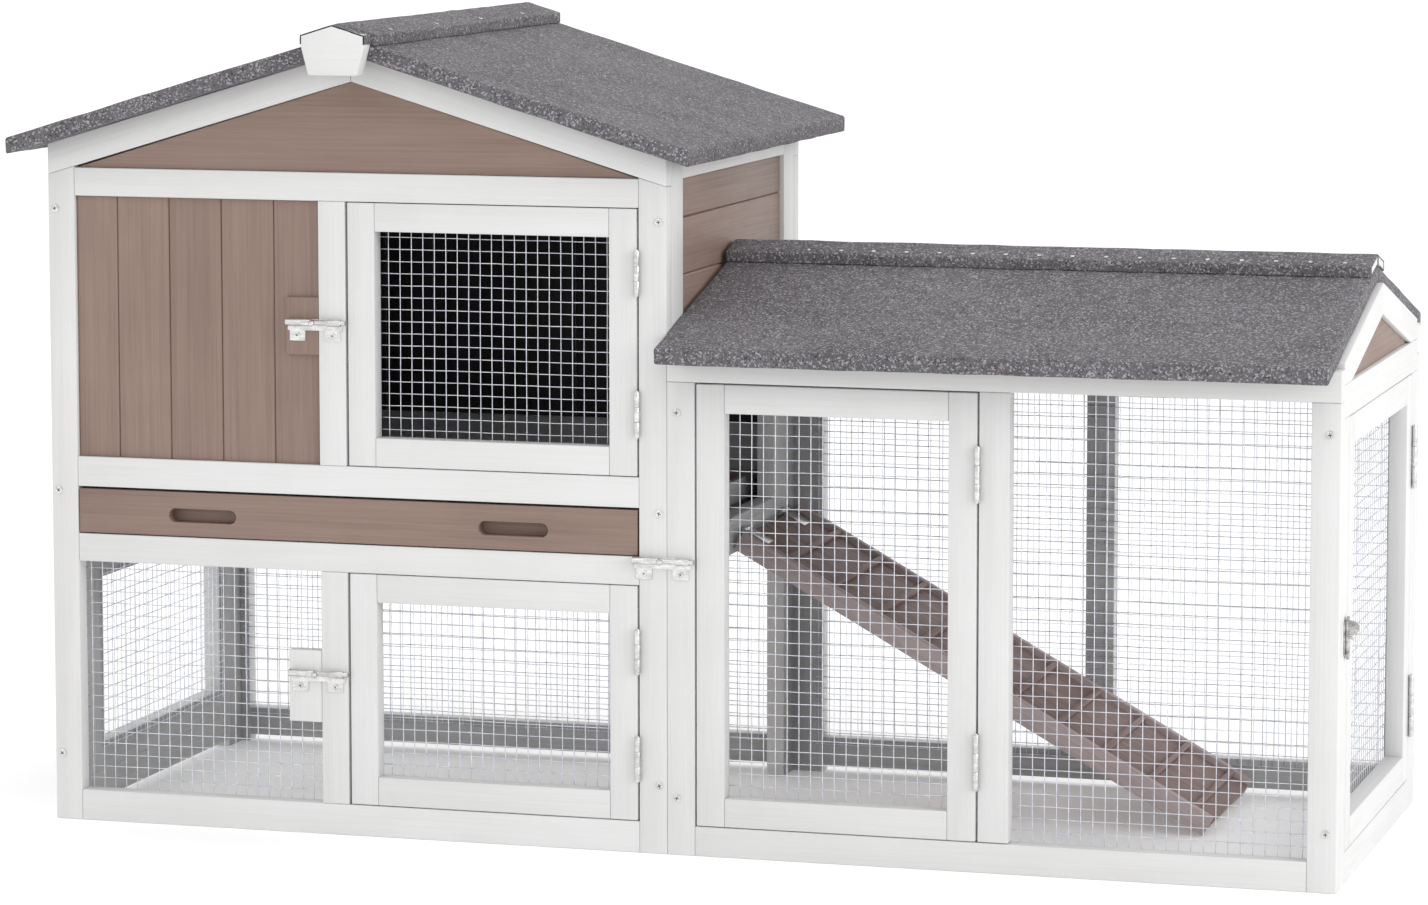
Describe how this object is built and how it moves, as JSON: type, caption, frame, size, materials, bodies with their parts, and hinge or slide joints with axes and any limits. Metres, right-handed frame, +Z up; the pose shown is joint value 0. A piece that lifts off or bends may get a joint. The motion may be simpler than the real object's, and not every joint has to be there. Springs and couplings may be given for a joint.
{
  "type": "rabbit hutch",
  "caption": "Timber rabbit hutch: a raised gabled cabin on an open lower room, joined to a roofed mesh run, with doors, a pull-out tray and a ramp.",
  "frame": {"origin": "on the ground under the middle of the whole hutch's bounding box", "axes": "+X from the house to the end of the run, +Y from the front to the back, +Z up"},
  "size_m": [1.4406, 0.636, 0.8633],
  "materials": {
    "white_paint": "satin white paint on timber",
    "taupe_paint": "matt taupe paint on timber",
    "roof_felt": "mineral roofing felt wrapped round a board",
    "tray_sheet": "coated hardboard",
    "ramp_stain": "dark brown stain",
    "galvanised_wire": "galvanised",
    "zinc_plate": "bright zinc plate"
  },
  "bodies": {
    "hutch": {"bolt_barrels": "zinc_plate", "end_catch_plate": "zinc_plate", "frame_hinge_leaves": "zinc_plate", "frame_screws": "zinc_plate", "house_back_boards": "taupe_paint", "house_back_frame": "white_paint", "house_back_mesh": "galvanised_wire", "house_front_boards": "taupe_paint", "house_front_gable_board": "taupe_paint", "house_front_mesh": "galvanised_wire", "house_front_rails": "white_paint", "house_front_stiles": "white_paint", "house_left_boards": "taupe_paint", "house_left_frame": "white_paint", "house_left_mesh": "galvanised_wire", "house_rafters": "white_paint", "house_ridge_cap": "roof_felt", "house_right_boards": "taupe_paint", "house_right_frame": "white_paint", "house_roof_left": "roof_felt", "house_roof_right": "roof_felt", "lower_latch_plate": "white_paint", "ridge_finial": "white_paint", "roof_nails": "zinc_plate", "run_back_frame": "white_paint", "run_back_mesh": "galvanised_wire", "run_end_frame": "white_paint", "run_end_gable_board": "taupe_paint", "run_end_rafters": "white_paint", "run_front_mesh": "galvanised_wire", "run_front_rails": "white_paint", "run_front_stiles": "white_paint", "run_ridge_cap": "roof_felt", "run_roof_back": "roof_felt", "run_roof_front": "roof_felt", "tray_runners": "white_paint", "upper_latch_plate": "taupe_paint"},
    "upper_door": {"upper_door_frame": "white_paint", "upper_door_mesh": "galvanised_wire", "upper_door_hinge_leaves": "zinc_plate"},
    "lower_door": {"lower_door_frame": "white_paint", "lower_door_mesh": "galvanised_wire", "lower_door_hinge_leaves": "zinc_plate"},
    "run_door": {"run_door_frame": "white_paint", "run_door_mesh": "galvanised_wire", "run_door_hinge_leaves": "zinc_plate"},
    "end_door": {"end_door_frame": "white_paint", "end_door_mesh": "galvanised_wire", "end_door_hinge_leaves": "zinc_plate"},
    "tray": {"tray_front": "taupe_paint", "tray_floor": "tray_sheet", "tray_sides": "taupe_paint"},
    "upper_bolt": {"upper_bolt": "zinc_plate"},
    "lower_bolt": {"lower_bolt": "zinc_plate"},
    "run_bolt": {"run_bolt": "zinc_plate"},
    "end_catch": {"end_catch_wing": "zinc_plate"},
    "ramp": {"ramp_deck": "ramp_stain", "ramp_side_strips": "ramp_stain", "ramp_cleats": "ramp_stain", "ramp_hinge_leaves": "zinc_plate"}
  },
  "joints": [
    {"name": "upper_door_swing", "type": "hinge", "parent": "hutch", "child": "upper_door", "pos_m": [-0.0274, -0.2674, 0.534], "axis": [0, 0, 1], "range_deg": [0, 100]},
    {"name": "lower_door_swing", "type": "hinge", "parent": "hutch", "child": "lower_door", "pos_m": [-0.0274, -0.2674, 0.156], "axis": [0, 0, 1], "range_deg": [0, 110]},
    {"name": "run_door_swing", "type": "hinge", "parent": "hutch", "child": "run_door", "pos_m": [0.3346, -0.2674, 0.262], "axis": [0, 0, 1], "range_deg": [0, 110]},
    {"name": "end_door_swing", "type": "hinge", "parent": "hutch", "child": "end_door", "pos_m": [0.7091, 0.1951, 0.254], "axis": [0, 0, 1], "range_deg": [0, 110]},
    {"name": "tray_slide", "type": "slide", "parent": "hutch", "child": "tray", "axis": [0, -1, 0], "range_m": [0, 0.3]},
    {"name": "upper_bolt_slide", "type": "slide", "parent": "hutch", "child": "upper_bolt", "axis": [1, 0, 0], "range_m": [0, 0.013]},
    {"name": "lower_bolt_slide", "type": "slide", "parent": "hutch", "child": "lower_bolt", "axis": [1, 0, 0], "range_m": [0, 0.013]},
    {"name": "run_bolt_slide", "type": "slide", "parent": "hutch", "child": "run_bolt", "axis": [1, 0, 0], "range_m": [0, 0.013]},
    {"name": "end_catch_turn", "type": "hinge", "parent": "hutch", "child": "end_catch", "pos_m": [0.7077, -0.228, 0.255], "axis": [1, 0, 0], "range_deg": [0, 90]},
    {"name": "ramp_lift", "type": "hinge", "parent": "hutch", "child": "ramp", "pos_m": [0.0087, 0.095, 0.305], "axis": [0, -1, 0], "range_deg": [0, 45]}
  ]
}
